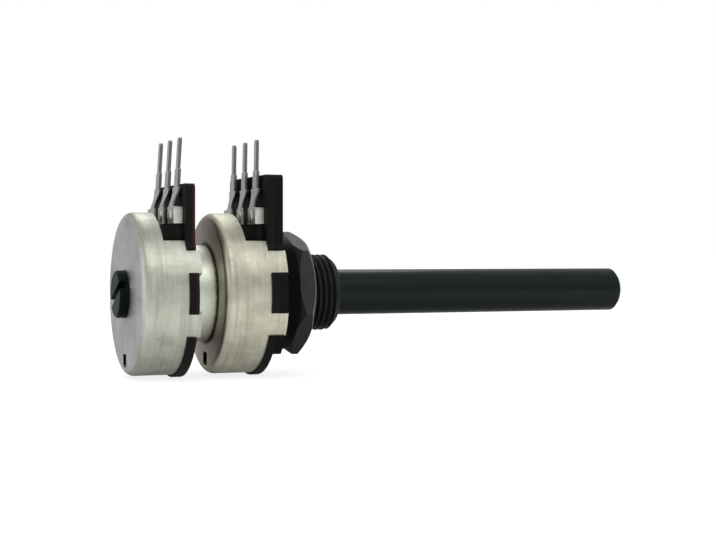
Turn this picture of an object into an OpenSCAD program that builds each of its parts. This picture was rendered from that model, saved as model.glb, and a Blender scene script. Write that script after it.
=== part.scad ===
// Two-gang rotary potentiometer with a long plain spindle, a moulded bush and drawn metal covers.
// X runs along the spindle towards its free end, Z points up along the solder pins.
// The origin lies on the spindle's axis, on the face of the bush that seats against a panel.

/* [Spindle] */
// Diameter of the spindle
spindle_d = 6; // [5.6:0.1:6.1]
// Length of the spindle in front of the panel face
spindle_length = 50; // [20:1:70]
// Width of the chamfer round the free end
spindle_chamfer = 0.5; // [0.2:0.1:0.8]
// How far the rear end stands out of the rear cover
stub_length = 1.2; // [1:0.1:3]
// Width of the screwdriver slot in the rear end
slot_w = 1; // [0.8:0.1:1.4]
// Depth of the screwdriver slot
slot_depth = 0.9; // [0.5:0.1:1.1]
// Angle of the screwdriver slot to the horizontal, at mid travel
slot_angle = 25; // [0:5:90]
// Width of the grease groove at the front of the bearing
grease_groove_w = 0.8; // [0.6:0.1:1.2]
// Depth of the grease groove
grease_groove_depth = 0.25; // [0.2:0.05:0.4]
// Diameter of the thrust shoulder inside the front gang
shoulder_d = 8; // [7.6:0.1:8.2]

/* [Travel] */
// Turn of the spindle each way from mid travel
half_travel = 150; // [135:1:152]

/* [Bush] */
// Major diameter of the bush thread
bush_d = 10; // [9.4:0.1:10.4]
// Length of the bush in front of the panel face
bush_length = 6.6; // [5:0.1:12]
// Width of the chamfer round the end of the bush
bush_chamfer = 0.8; // [0.3:0.1:1]
// Diameter of the boss that seats against the panel
boss_d = 14.8; // [14.6:0.1:16]
// Thickness of the boss
boss_t = 2.7; // [1.2:0.05:3]
// Thickness of the plate behind the boss
plate_t = 1.05; // [1:0.05:2]
// Depth of the recesses in the plate for the folded lugs
lug_recess = 0.3; // [0.1:0.05:0.5]
// Depth of the plate's flat lower edge below the axis
plate_drop = 7.5; // [7.5:0.1:8.8]

/* [Nut] */
// Width of the nut across its flats
nut_af = 14.2; // [13:0.1:15]
// Thickness of the nut
nut_t = 2.2; // [2:0.05:3]
// Height of the cone that rounds the nut's corners
nut_chamfer = 0.35; // [0.2:0.05:0.5]
// Turn of the nut about the axis
nut_turn = 12; // [0:1:30]

/* [Boards] */
// Diameter of the round part of each track board
board_d = 21.2; // [20.8:0.1:21.4]
// Thickness of the front track board
front_board_t = 1; // [0.8:0.05:1.2]
// Thickness of the rear track board
rear_board_t = 1.2; // [0.8:0.05:1.4]
// Width of the tongue that carries the terminals
tongue_w = 16.7; // [16:0.1:17.4]
// Height of the front tongue above the axis
front_tongue_h = 15; // [14:0.1:15.2]
// Height of the rear tongue above the axis
rear_tongue_h = 13.7; // [12.8:0.1:15.2]
// Corner radius at the top of each tongue
tongue_corner = 0.6; // [0.3:0.1:1]
// Distance between the two gangs
gang_pitch = 10.4; // [10:0.1:12]

/* [Covers] */
// How far a board stands out round its cover
board_rim = 0.3; // [0.2:0.05:0.5]
// Depth of each cover behind its board
cover_depth = 5.75; // [5.5:0.05:6.2]
// Sheet thickness of the covers
cover_sheet = 0.45; // [0.35:0.05:0.5]
// Outer corner radius round the closed end of a cover
cover_corner = 1; // [0.7:0.1:1.2]
// Outer diameter of the drawn boss behind the front cover
neck_d = 12.4; // [11.8:0.1:13.2]
// Corner radius round the end of the drawn boss
neck_corner = 0.8; // [0.6:0.1:1.1]
// Height of the lower edge of the terminal window above the axis
window_h = 6.7; // [6.5:0.1:7]
// Depth of the terminal window behind the board
window_depth = 2.65; // [2.2:0.05:3]
// Width of each fixing lug
lug_w = 3; // [2.4:0.1:3.4]
// Angle of the upper lugs above the horizontal
upper_lug_angle = 24; // [22:0.5:27]
// Angle of the lower lugs below the horizontal
lower_lug_angle = 21; // [18:0.5:27]
// Length of a lug's folded end, measured inwards
lug_fold = 2; // [1.4:0.1:2.1]
// Width of the stop tongue lanced from the closed end
stop_w = 1.8; // [1.4:0.1:2.2]
// Length of the stop tongue, and height of the slot it leaves
stop_length = 1.65; // [1.2:0.05:1.8]

/* [Terminals] */
// Distance between neighbouring terminals
terminal_pitch = 5; // [4.8:0.02:5.08]
// Sheet thickness of the terminals
terminal_sheet = 0.45; // [0.3:0.05:0.5]
// Height of the pin tips above the axis
pin_tip_h = 19.5; // [18:0.5:24]
// Height of the shoulder that seats on a circuit board
pin_shoulder_h = 15.6; // [15.4:0.1:16.4]
// Width of each pin
pin_w = 0.8; // [0.6:0.05:1]
// Width of each blade below its shoulder
tag_w = 1.6; // [1.4:0.1:2.2]
// Width across the barbs of each blade
barb_w = 3; // [2.4:0.1:4.4]
// Width of each foot, where the rivet goes through
foot_w = 2.2; // [2:0.1:2.6]
// Thickness of the insulating bar behind the feet
bar_t = 0.75; // [0.6:0.05:0.9]
// Step of the front blades towards the tongue
front_step = 0.5; // [0:0.05:0.6]
// Step of the rear blades towards the tongue
rear_step = 0.68; // [0:0.02:0.7]
// Lean of the front blades towards the tongue
front_lean = 1; // [0:0.5:4]
// Lean of the rear blades towards the tongue
rear_lean = 3.5; // [0:0.5:4]
// Shank diameter of the terminal rivets
rivet_d = 1.2; // [1:0.1:1.4]
// Head diameter of the terminal rivets
rivet_head_d = 1.6; // [1.5:0.1:2]

/* [Contacts] */
// Mean radius of the resistive track
track_r = 6.2; // [6.1:0.05:6.3]
// Width of the resistive track
track_w = 1.4; // [1.1:0.1:1.4]
// Mean radius of the collector ring
ring_r = 4.7; // [4.65:0.05:4.8]
// Width of the collector ring
ring_w = 0.8; // [0.6:0.1:0.8]
// Sheet thickness of the wiper springs
wiper_sheet = 0.2; // [0.15:0.05:0.25]
// Width of each wiper arm
arm_w = 0.8; // [0.6:0.1:0.9]

/* [Fits] */
// Radial gap between the spindle and its bearings
spindle_gap = 0.05; // [0.03:0.01:0.09]
// Gap along the axis at the spindle's thrust faces
thrust_gap = 0.05; // [0.03:0.01:0.1]
// Radial gap between the nut and the bush
nut_gap = 0.05; // [0.02:0.01:0.1]
// Gap between a wiper contact and what it runs on
contact_gap = 0.02; // [0.01:0.01:0.05]
// Gap all round a lug in its notch
notch_gap = 0.08; // [0.05:0.01:0.15]
// Gap round a part that lies in a recess of another
recess_gap = 0.05; // [0.03:0.01:0.1]
// Gap between the stop sector and the cover's wall
stop_gap = 0.2; // [0.15:0.05:0.4]
// Gap behind the rotor's disc
disc_gap = 0.3; // [0.2:0.05:0.5]

/* [Hidden] */
$fn = 96;

// How far a cutting shape reaches past what it cuts
over = 1;

// Radii
spindle_r = spindle_d / 2;
shoulder_r = shoulder_d / 2;
board_r = board_d / 2;
cover_r = board_r - board_rim;
cover_d = 2 * cover_r;
cover_bore_r = cover_r - cover_sheet;
neck_r = neck_d / 2;
rivet_r = rivet_d / 2;
rivet_head_r = rivet_head_d / 2;
lug_angles = [
    upper_lug_angle, -lower_lug_angle, 180 - upper_lug_angle, 180 + lower_lug_angle
];

// Places along the axis, from the panel face backwards
plate_front = -boss_t;
plate_back = plate_front - plate_t;
front_lug_seat = plate_front - lug_recess;
front_board_back = plate_back - front_board_t;
front_cover_back = front_board_back - cover_depth;
rear_board_back = front_board_back - gang_pitch;
rear_board_front = rear_board_back + rear_board_t;
rear_cover_back = rear_board_back - cover_depth;
neck_length = front_cover_back - rear_board_front;
stub_end = rear_cover_back - stub_length;

// The collar that swages the front cover to the rear board
collar_sheet = 0.4;
collar_gap = 0.1;
collar_flare = 0.35;
flare_w = 0.55;
collar_bore_r = spindle_r + collar_gap;
collar_r = collar_bore_r + collar_sheet;
flare_r = collar_r + flare_w;

// The rotors, measured from the back of the board in their own gang
hub_front = 0.5;
shoulder_gap = 0.3;
hub_wall = 0.9;
hub_r = spindle_r + hub_wall;
hub_back = cover_depth - cover_sheet - thrust_gap;
disc_back = cover_depth - cover_sheet - disc_gap;
disc_t = 1.4;
disc_inset = 1.65;
disc_r = cover_bore_r - disc_inset;
disc_front = disc_back - disc_t;
stop_r = cover_bore_r - stop_gap;
stop_slot_clear = 0.1;
stop_slot_low = cover_r - cover_corner - stop_slot_clear;
stop_spare_angle = 0.5;
stop_side_angle = atan(stop_w / 2 / stop_slot_low);
stop_half_angle = 180 - half_travel - stop_side_angle - stop_spare_angle;
peg_r = 0.5;
peg_h = 0.5;
peg_angle = 42;
peg_circle_r = 6.4;

// The printed track, the collector ring and the wiper contacts
film_t = 0.08;
ring_t = 0.3;
tail_w = 1.6;
track_gap_angle = 23;
pad_start_angle = 2;
pad_width_angle = 12;
button_r = 0.3;
button_h = 0.25;
button_chamfer = 0.1;
arm_root_y = 3.2;
arm_bend_y = 0.35;
arm_tip_y = -0.5;
arm_sink = 0.05;
arm_lap = 0.1;
wiper_margin = 0.6;
wiper_base_angle = 58;

// The terminals
bar_bottom = 6.5;
bar_top = 10.9;
foot_bottom = 8.8;
wrap_reach = 2.1;
wrap_outer = terminal_pitch + wrap_reach;
rivet_h = (foot_bottom + bar_top) / 2;
rivet_head_t = 0.12;
stem_w = 1.5;
stem_h = 11.9;
step_h = 12.8;
barb_h = 13.3;
tag_taper_h = 14.7;
shoulder_w = 1.5;
pin_point = 0.35;

// A round bar along the axis from x0 to x1
module along(r, x0, x1) {
    translate([x0, 0, 0]) rotate([0, 90, 0]) cylinder(r = r, h = x1 - x0);
}

// A flat outline, drawn in Y and Z, made solid from x0 to x1
module sheet(x0, x1) {
    translate([x0, 0, 0]) rotate([90, 0, 90]) linear_extrude(x1 - x0) children();
}

// A section drawn as radius and distance, turned about the axis with its zero at x0
module turned(x0) {
    translate([x0, 0, 0]) rotate([0, 90, 0]) rotate_extrude() children();
}

// The round outline of a board with its upright tongue
module board_outline(height) {
    circle(r = board_r);
    translate([-tongue_w / 2, 0]) square([tongue_w, height - tongue_corner]);
    translate([-tongue_w / 2 + tongue_corner, 0]) square([tongue_w - 2 * tongue_corner, height]);
    for (side = [-1, 1])
        translate([side * (tongue_w / 2 - tongue_corner), height - tongue_corner]) circle(r = tongue_corner);
}

// The notches that the four lugs pass through
module lug_notches() {
    for (a = lug_angles)
        rotate(a)
            translate([cover_bore_r - notch_gap, -lug_w / 2 - notch_gap])
                square([board_r, lug_w + 2 * notch_gap]);
}

// The shallow recesses that the lugs' folded ends lie in
module lug_recesses() {
    for (a = lug_angles)
        rotate(a)
            translate([cover_r - lug_fold - recess_gap, -lug_w / 2 - notch_gap])
                square([board_r, lug_w + 2 * notch_gap]);
}

// The three rivet places
module at_rivets() {
    for (side = [-1, 0, 1]) translate([side * terminal_pitch, rivet_h]) children();
}

module spindle_body() {
    tip_r = spindle_r - spindle_chamfer;
    stub_chamfer = 0.2;
    difference() {
        union() {
            turned(stub_end)
                polygon([
                    [0, 0], [spindle_r - stub_chamfer, 0], [spindle_r, stub_chamfer],
                    [spindle_r, spindle_length - stub_end - spindle_chamfer],
                    [tip_r, spindle_length - stub_end], [0, spindle_length - stub_end]
                ]);
            along(shoulder_r, front_board_back - hub_front, plate_back - thrust_gap);
        }
        rotate([-slot_angle, 0, 0])
            translate([stub_end - over, -spindle_d, -slot_w / 2])
                cube([over + slot_depth, 2 * spindle_d, slot_w]);
        difference() {
            along(spindle_d, bush_length - grease_groove_w, bush_length);
            along(
                spindle_r - grease_groove_depth, bush_length - grease_groove_w - over, bush_length + over
            );
        }
    }
}

// The bush, its boss, the plate and the tongue are one moulding
module bush_moulding() {
    difference() {
        union() {
            turned(0)
                polygon([
                    [0, 0], [bush_d / 2, 0], [bush_d / 2, bush_length - bush_chamfer],
                    [bush_d / 2 - bush_chamfer, bush_length], [0, bush_length]
                ]);
            along(boss_d / 2, plate_front, 0);
            sheet(plate_back, plate_front)
                difference() {
                    board_outline(front_tongue_h);
                    translate([-board_d, -board_d - plate_drop]) square([2 * board_d, board_d]);
                    lug_notches();
                }
        }
        along(spindle_r + spindle_gap, plate_back - over, bush_length + over);
        sheet(front_lug_seat, plate_front + over) lug_recesses();
        sheet(plate_back - over, plate_back + rivet_head_t + recess_gap)
            at_rivets() circle(r = rivet_head_r + recess_gap);
    }
}

module nut_body() {
    corner_r = nut_af / 2 / cos(30);
    face_inset = 0.05;
    face_r = nut_af / 2 - face_inset;
    rim_spare = 0.3;
    rim_r = corner_r + rim_spare;
    rim_h = nut_chamfer * 2 * (rim_r - face_r) / (corner_r - face_r);
    bore_r = bush_d / 2 + nut_gap;
    lead = 0.3;
    difference() {
        intersection() {
            rotate([-nut_turn, 0, 0]) sheet(0, nut_t) rotate(90) circle(r = corner_r, $fn = 6);
            turned(0)
                polygon([
                    [0, 0], [face_r, 0], [rim_r, rim_h],
                    [rim_r, nut_t - rim_h], [face_r, nut_t], [0, nut_t]
                ]);
        }
        turned(0)
            polygon([
                [0, -over], [bore_r + lead + over, -over], [bore_r, lead],
                [bore_r, nut_t - lead], [bore_r + lead + over, nut_t + over], [0, nut_t + over]
            ]);
    }
}

// A laminate board, with a hole for the shoulder or the collar
module track_board(back, front, height, hole_r) {
    sheet(back, front)
        difference() {
            board_outline(height);
            circle(r = hole_r);
            lug_notches();
            at_rivets() circle(r = rivet_r);
        }
}

// The printed film: an open ring with a pad at each end, out to the rivets
module film_outline() {
    outer = track_r + track_w / 2;
    inner = track_r - track_w / 2;
    reach = 2 * outer;
    difference() {
        circle(r = outer);
        circle(r = inner);
        polygon([
            [0, 0], [-reach * sin(track_gap_angle), reach * cos(track_gap_angle)],
            [reach * sin(track_gap_angle), reach * cos(track_gap_angle)]
        ]);
    }
}

// A pad from one end of the film to the rivet on that side
module pad_outline(side) {
    start = track_gap_angle + pad_start_angle;
    stop = start + pad_width_angle;
    polygon([
        [side * track_r * sin(start), track_r * cos(start)],
        [side * (terminal_pitch - rivet_head_r), rivet_h],
        [side * (terminal_pitch + rivet_head_r), rivet_h],
        [side * track_r * sin(stop), track_r * cos(stop)]
    ]);
    translate([side * terminal_pitch, rivet_h]) circle(r = rivet_head_r);
}

module resistive_track(back) {
    difference() {
        union() {
            sheet(back - film_t, back) film_outline();
            sheet(back - film_t, back) pad_outline(-1);
            sheet(back - film_t, back) pad_outline(1);
        }
        sheet(back - over, back + over) at_rivets() circle(r = rivet_r);
    }
}

// The outline of the tail that joins the collector ring to the middle terminal
module tail_outline(spare) {
    half = tail_w / 2 + spare;
    translate([-half, ring_r]) square([2 * half, rivet_h - ring_r]);
    translate([0, rivet_h]) circle(r = rivet_head_r + spare);
}

module collector_ring(back) {
    sheet(back - ring_t, back)
        difference() {
            union() {
                circle(r = ring_r + ring_w / 2);
                tail_outline(0);
            }
            circle(r = ring_r - ring_w / 2);
            at_rivets() circle(r = rivet_r);
        }
}

// The insulating bar, recessed over the film pads and the ring's tail
module terminal_bar(back) {
    half = wrap_outer - terminal_sheet;
    difference() {
        sheet(back - bar_t, back)
            difference() {
                translate([-half, bar_bottom]) square([2 * half, bar_top - bar_bottom]);
                at_rivets() circle(r = rivet_r);
            }
        sheet(back - ring_t, back + over) tail_outline(recess_gap);
        sheet(back - film_t, back + over) {
            pad_outline(-1);
            pad_outline(1);
        }
    }
}

// The upright blade of a terminal, drawn about its own centre line
module blade_outline() {
    half_pin = pin_w / 2;
    right = [
        [stem_w / 2, foot_bottom], [stem_w / 2, stem_h], [barb_w / 2, barb_h],
        [tag_w / 2, barb_h], [tag_w / 2, tag_taper_h], [shoulder_w / 2, pin_shoulder_h],
        [half_pin, pin_shoulder_h], [half_pin, pin_tip_h - pin_point], [half_pin / 2, pin_tip_h]
    ];
    left = [for (i = [len(right) - 1:-1:0]) [-right[i][0], right[i][1]]];
    polygon(concat(right, left));
}

// A terminal's sheet seen from the side: the foot, the step and the leaning blade
module bent_sheet(foot_x, step, lean) {
    rise = pin_tip_h - step_h;
    bends = [
        [foot_x, foot_bottom], [foot_x, bar_top], [foot_x + step, step_h],
        [foot_x + step + rise * tan(lean), pin_tip_h]
    ];
    front = [for (i = [len(bends) - 1:-1:0]) [bends[i][0] + terminal_sheet, bends[i][1]]];
    rotate([90, 0, 0]) linear_extrude(2 * terminal_pitch, center = true) polygon(concat(bends, front));
}

// A stamped terminal; side is -1, 0 or 1 for its place along Y
module terminal(back, side, step, lean) {
    foot_back = back - bar_t - terminal_sheet;
    foot_front = back - bar_t;
    foot_h = bar_top - foot_bottom;
    translate([0, side * terminal_pitch, 0]) {
        intersection() {
            bent_sheet(foot_back, step, lean);
            sheet(foot_back - over, back + over)
                difference() {
                    union() {
                        blade_outline();
                        translate([-foot_w / 2, foot_bottom]) square([foot_w, foot_h]);
                    }
                    translate([0, rivet_h]) circle(r = rivet_r);
                }
        }
        if (side != 0)
            sheet(foot_back, foot_front)
                translate([side > 0 ? rivet_head_r : -wrap_reach, foot_bottom])
                    square([wrap_reach - rivet_head_r, foot_h]);
    }
    if (side != 0)
        translate([foot_back, side > 0 ? wrap_outer - terminal_sheet : -wrap_outer, foot_bottom])
            cube([back - foot_back, terminal_sheet, foot_h]);
}

// Three rivets through the feet, the bar and the board
module terminal_rivets(back, board_front) {
    foot_back = back - bar_t - terminal_sheet;
    sheet(foot_back, board_front) at_rivets() circle(r = rivet_r);
    sheet(foot_back - rivet_head_t, foot_back) at_rivets() circle(r = rivet_head_r);
    sheet(board_front, board_front + rivet_head_t) at_rivets() circle(r = rivet_head_r);
}

// A moulded rotor: hub, disc, a stop sector at the top and two pegs for the wiper
module rotor(back) {
    difference() {
        union() {
            along(hub_r, back - hub_back, back - hub_front);
            along(disc_r, back - disc_back, back - disc_front);
            sheet(back - disc_back, back - disc_front)
                intersection() {
                    circle(r = stop_r);
                    polygon([
                        [0, 0],
                        [-2 * stop_r * sin(stop_half_angle), 2 * stop_r * cos(stop_half_angle)],
                        [2 * stop_r * sin(stop_half_angle), 2 * stop_r * cos(stop_half_angle)]
                    ]);
                }
            for (side = [-1, 1])
                rotate([180 + side * peg_angle, 0, 0])
                    translate([0, 0, peg_circle_r]) along(peg_r, back - disc_front, back - disc_front + peg_h);
        }
        along(spindle_r, back - hub_back - over, back - hub_front + over);
    }
}

// One arm of the wiper and its contact button, at its own radius below the axis
module wiper_arm(base_x, contact_x, r) {
    tip_x = contact_x - contact_gap - button_h;
    root_x = tip_x - wiper_sheet / 2;
    button_end = contact_x - contact_gap - root_x;
    translate([0, 0, -r - arm_w / 2])
        linear_extrude(arm_w)
            polygon([
                [base_x + arm_sink, arm_root_y], [base_x + wiper_sheet, arm_root_y + arm_lap],
                [tip_x, arm_bend_y], [tip_x, arm_tip_y],
                [tip_x - wiper_sheet, arm_tip_y], [tip_x - wiper_sheet, arm_bend_y - arm_lap]
            ]);
    translate([0, 0, -r])
        turned(root_x)
            polygon([
                [0, 0], [button_r, 0], [button_r, button_end - button_chamfer],
                [button_r - button_chamfer, button_end], [0, button_end]
            ]);
}

// The stamped wiper spring: a base on the rotor with two arms
module wiper_spring(back) {
    base_x = back - disc_front;
    spread = 2 * disc_r;
    sheet(base_x, base_x + wiper_sheet)
        difference() {
            intersection() {
                circle(r = track_r + track_w / 2 + wiper_margin);
                polygon([
                    [0, 0], [-spread * sin(wiper_base_angle), -spread * cos(wiper_base_angle)],
                    [0, -spread],
                    [spread * sin(wiper_base_angle), -spread * cos(wiper_base_angle)]
                ]);
            }
            circle(r = hub_r + recess_gap);
            for (side = [-1, 1]) rotate(side * peg_angle) translate([0, -peg_circle_r]) circle(r = peg_r);
        }
    wiper_arm(base_x, back - film_t, track_r);
    wiper_arm(base_x, back - ring_t, ring_r);
}

// The section of a solid cup, closed end at zero
module cup_section(r, depth, corner) {
    square([r - corner, depth]);
    translate([0, corner]) square([r, depth - corner]);
    translate([r - corner, corner]) circle(r = corner);
}

// What cuts the rim away between the four lugs
module between_lugs(rim, seat) {
    sheet(rim, seat + cover_sheet + over)
        difference() {
            circle(r = cover_d);
            for (a = lug_angles)
                rotate(a) translate([cover_r - lug_fold, -lug_w / 2]) square([cover_r, lug_w]);
        }
}

// What both covers share: the cup, the lugs folded over the board, the window and the lanced stop
module cover_cup(back, rim, seat) {
    reach = seat + cover_sheet - back;
    difference() {
        turned(back)
            difference() {
                cup_section(cover_r, reach, cover_corner);
                translate([0, cover_sheet])
                    cup_section(cover_bore_r, reach - 2 * cover_sheet, cover_corner - cover_sheet);
                translate([0, cover_sheet]) square([cover_r - lug_fold, reach]);
            }
        between_lugs(rim, seat);
        translate([rim - window_depth, -cover_d, window_h]) cube([window_depth + over, 2 * cover_d, cover_d]);
        translate([back - over, -stop_w / 2, -stop_slot_low])
            cube([cover_sheet + 2 * over, stop_w, stop_length]);
    }
    translate([back + cover_sheet / 2, -stop_w / 2, -stop_slot_low - cover_sheet])
        cube([stop_length, stop_w, cover_sheet]);
}

// The front cover has a hollow neck, swaged through the rear board
module neck_section() {
    collar_end = -neck_length - rear_board_t - collar_flare;
    difference() {
        union() {
            translate([0, -neck_length + neck_corner]) square([neck_r, neck_length - neck_corner + cover_sheet]);
            translate([0, -neck_length]) square([neck_r - neck_corner, neck_length]);
            translate([neck_r - neck_corner, -neck_length + neck_corner]) circle(r = neck_corner);
        }
        translate([0, -neck_length + neck_corner])
            square([neck_r - cover_sheet, neck_length - neck_corner + over]);
        translate([0, -neck_length + cover_sheet]) square([neck_r - neck_corner, neck_length]);
        translate([neck_r - neck_corner, -neck_length + neck_corner]) circle(r = neck_corner - cover_sheet);
    }
    translate([0, collar_end]) square([collar_r, -collar_end - neck_length + cover_sheet]);
    translate([0, collar_end]) square([flare_r, collar_flare]);
}

module front_cover_body() {
    difference() {
        union() {
            difference() {
                cover_cup(front_cover_back, front_board_back, front_lug_seat);
                along(neck_r - cover_sheet, front_cover_back - over, front_cover_back + over);
            }
            turned(front_cover_back) neck_section();
        }
        along(collar_bore_r, rear_board_back - collar_flare - over, front_cover_back + over);
    }
}

module rear_cover_body() {
    difference() {
        cover_cup(rear_cover_back, rear_board_back, rear_board_front);
        along(spindle_r + spindle_gap, rear_cover_back - over, rear_cover_back + over);
    }
}

// Nodes of the spindle, the bush and the nut
module spindle() {
    color("#26292b") spindle_body();
}

module bush_housing() {
    color("#232427") bush_moulding();
}

module mounting_nut() {
    color("#2f3231") nut_body();
}

// Nodes of the front gang
module front_track_board() {
    color("#2b2724")
        track_board(front_board_back, plate_back, front_tongue_h, shoulder_r + shoulder_gap);
}

module front_resistive_track() {
    color("#17181a") resistive_track(front_board_back);
}

module front_collector_ring() {
    color("#c9c6bd") collector_ring(front_board_back);
}

module front_terminal_bar() {
    color("#1b1d1b") terminal_bar(front_board_back);
}

module front_start_terminal() {
    color("#a9aca9") terminal(front_board_back, -1, front_step, front_lean);
}

module front_wiper_terminal() {
    color("#a9aca9") terminal(front_board_back, 0, front_step, front_lean);
}

module front_end_terminal() {
    color("#a9aca9") terminal(front_board_back, 1, front_step, front_lean);
}

module front_terminal_rivets() {
    color("#b4b5b0") terminal_rivets(front_board_back, plate_back);
}

module front_rotor() {
    color("#e4e2da") rotor(front_board_back);
}

module front_wiper_spring() {
    color("#b98a4a") wiper_spring(front_board_back);
}

module front_cover() {
    color("#b9b9ad") front_cover_body();
}

// Nodes of the rear gang
module rear_track_board() {
    color("#33231f")
        track_board(rear_board_back, rear_board_front, rear_tongue_h, collar_r);
}

module rear_resistive_track() {
    color("#17181a") resistive_track(rear_board_back);
}

module rear_collector_ring() {
    color("#c9c6bd") collector_ring(rear_board_back);
}

module rear_terminal_bar() {
    color("#1b1d1b") terminal_bar(rear_board_back);
}

module rear_start_terminal() {
    color("#a9aca9") terminal(rear_board_back, -1, rear_step, rear_lean);
}

module rear_wiper_terminal() {
    color("#a9aca9") terminal(rear_board_back, 0, rear_step, rear_lean);
}

module rear_end_terminal() {
    color("#a9aca9") terminal(rear_board_back, 1, rear_step, rear_lean);
}

module rear_terminal_rivets() {
    color("#b4b5b0") terminal_rivets(rear_board_back, rear_board_front);
}

module rear_rotor() {
    color("#e4e2da") rotor(rear_board_back);
}

module rear_wiper_spring() {
    color("#b98a4a") wiper_spring(rear_board_back);
}

module rear_cover() {
    color("#b9b9ad") rear_cover_body();
}

spindle();
bush_housing();
mounting_nut();
front_track_board();
front_resistive_track();
front_collector_ring();
front_terminal_bar();
front_start_terminal();
front_wiper_terminal();
front_end_terminal();
front_terminal_rivets();
front_rotor();
front_wiper_spring();
front_cover();
rear_track_board();
rear_resistive_track();
rear_collector_ring();
rear_terminal_bar();
rear_start_terminal();
rear_wiper_terminal();
rear_end_terminal();
rear_terminal_rivets();
rear_rotor();
rear_wiper_spring();
rear_cover();
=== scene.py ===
"""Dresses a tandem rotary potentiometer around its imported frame, on a plain pale floor.

Lengths in the classes are in millimetres, and meshes and node trees are in metres. X runs along
the spindle towards its free end, Z points up along the solder pins, and the camera looks from
the -Y side.
"""
import logging
import math
from dataclasses import dataclass
from enum import Enum
from functools import cached_property
from typing import Iterable, Optional, Sequence

import bmesh
import bpy
from mathutils import Matrix, Vector


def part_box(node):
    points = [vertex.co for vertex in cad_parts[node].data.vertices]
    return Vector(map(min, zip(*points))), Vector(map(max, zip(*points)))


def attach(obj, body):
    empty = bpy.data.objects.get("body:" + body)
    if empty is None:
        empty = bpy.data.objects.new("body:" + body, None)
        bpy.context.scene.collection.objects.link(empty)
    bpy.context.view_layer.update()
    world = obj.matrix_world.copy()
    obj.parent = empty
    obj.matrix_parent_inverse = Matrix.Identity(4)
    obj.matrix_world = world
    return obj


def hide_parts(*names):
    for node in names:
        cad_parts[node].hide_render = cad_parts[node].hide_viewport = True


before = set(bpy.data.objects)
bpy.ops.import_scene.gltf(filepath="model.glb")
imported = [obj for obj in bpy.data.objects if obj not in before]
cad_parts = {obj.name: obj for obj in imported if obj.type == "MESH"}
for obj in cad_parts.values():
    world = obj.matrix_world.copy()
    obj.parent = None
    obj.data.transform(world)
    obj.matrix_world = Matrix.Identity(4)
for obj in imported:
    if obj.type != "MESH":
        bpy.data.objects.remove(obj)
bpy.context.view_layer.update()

LOG = logging.getLogger("potentiometer")

Colour = tuple[float, float, float, float]
Point = tuple[float, float, float]
Socket = bpy.types.NodeSocket

MM = 0.001
# the photograph's width in pixels, and the camera sensor's in millimetres
PHOTO_WIDTH = 716
SENSOR_WIDTH = 36.0
# points closer than this many metres are one point
WELD = 1e-7
# faces that meet flatter than this many degrees are one face
FLAT = 0.6
# edges sharper than this many degrees stay sharp in the shading
CREASE = 32.0
# how many finer layers a noise has, and how strong each is beside the last
PLAIN, RICH = 2.0, 3.0
LAYER_SHARE = 0.55
# the bodies that the pieces ride on
HOUSING, TURNING, NUT = "housing", "spindle_assembly", "nut"


def linear(code: str) -> Colour:
    """Turns an sRGB hex code into a linear colour.

    Args:
        code: Six hex digits after a hash sign.

    Returns:
        Red, green, blue and an alpha of one.
    """
    parts = [int(code[i:i + 2], 16) / 255 for i in (1, 3, 5)]
    turned = [p / 12.92 if p <= 0.04045 else ((p + 0.055) / 1.055) ** 2.4 for p in parts]
    return (turned[0], turned[1], turned[2], 1.0)


def add_node(
    tree: bpy.types.NodeTree,
    kind: str,
    values: Optional[dict] = None,
    links: Optional[dict] = None,
) -> bpy.types.Node:
    """Adds one node with its settings and links.

    Args:
        tree: The node tree that takes the node.
        kind: The node's type name.
        values: Properties and input values; a number as key is an input's index.
        links: Output sockets to join, by the name or index of the input they go to.

    Returns:
        The new node.
    """
    node = tree.nodes.new(kind)
    for key, value in (values or {}).items():
        if isinstance(key, int) or (key in node.inputs and not hasattr(node, key)):
            node.inputs[key].default_value = value
        else:
            setattr(node, key, value)
    for key, socket in (links or {}).items():
        tree.links.new(socket, node.inputs[key])
    return node


class Role(Enum):
    """Which gang a sub-assembly belongs to, by the start of its nodes' names."""

    FRONT = "front"
    REAR = "rear"


# ---------------------------------------------------------------- finishes


@dataclass
class Draft:
    """A material's node tree, with the nodes that say where the shaded point is and faces."""

    tree: bpy.types.NodeTree

    @cached_property
    def coordinates(self) -> bpy.types.Node:
        """The node with the point's coordinates."""
        return add_node(self.tree, "ShaderNodeTexCoord")

    @cached_property
    def place(self) -> bpy.types.Node:
        """The node that splits the point's place on the object by axis."""
        return add_node(
            self.tree, "ShaderNodeSeparateXYZ", {}, {0: self.coordinates.outputs["Object"]}
        )

    @cached_property
    def facing(self) -> bpy.types.Node:
        """The node that splits the way the point faces by axis."""
        return add_node(
            self.tree, "ShaderNodeSeparateXYZ", {}, {0: self.coordinates.outputs["Normal"]}
        )

    def noise(self, size: Point, layers: float) -> Socket:
        """Adds a noise whose features have a real size.

        Args:
            size: The features' size along each axis, in millimetres.
            layers: How many finer layers the noise has.

        Returns:
            The noise's socket, from zero to one.
        """
        spot = add_node(
            self.tree, "ShaderNodeMapping", {"Scale": tuple(1 / (s * MM) for s in size)},
            {"Vector": self.coordinates.outputs["Object"]},
        )
        made = add_node(
            self.tree, "ShaderNodeTexNoise",
            {"Scale": 1.0, "Detail": layers, "Roughness": LAYER_SHARE},
            {"Vector": spot.outputs["Vector"]},
        )
        return made.outputs["Fac"]


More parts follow.
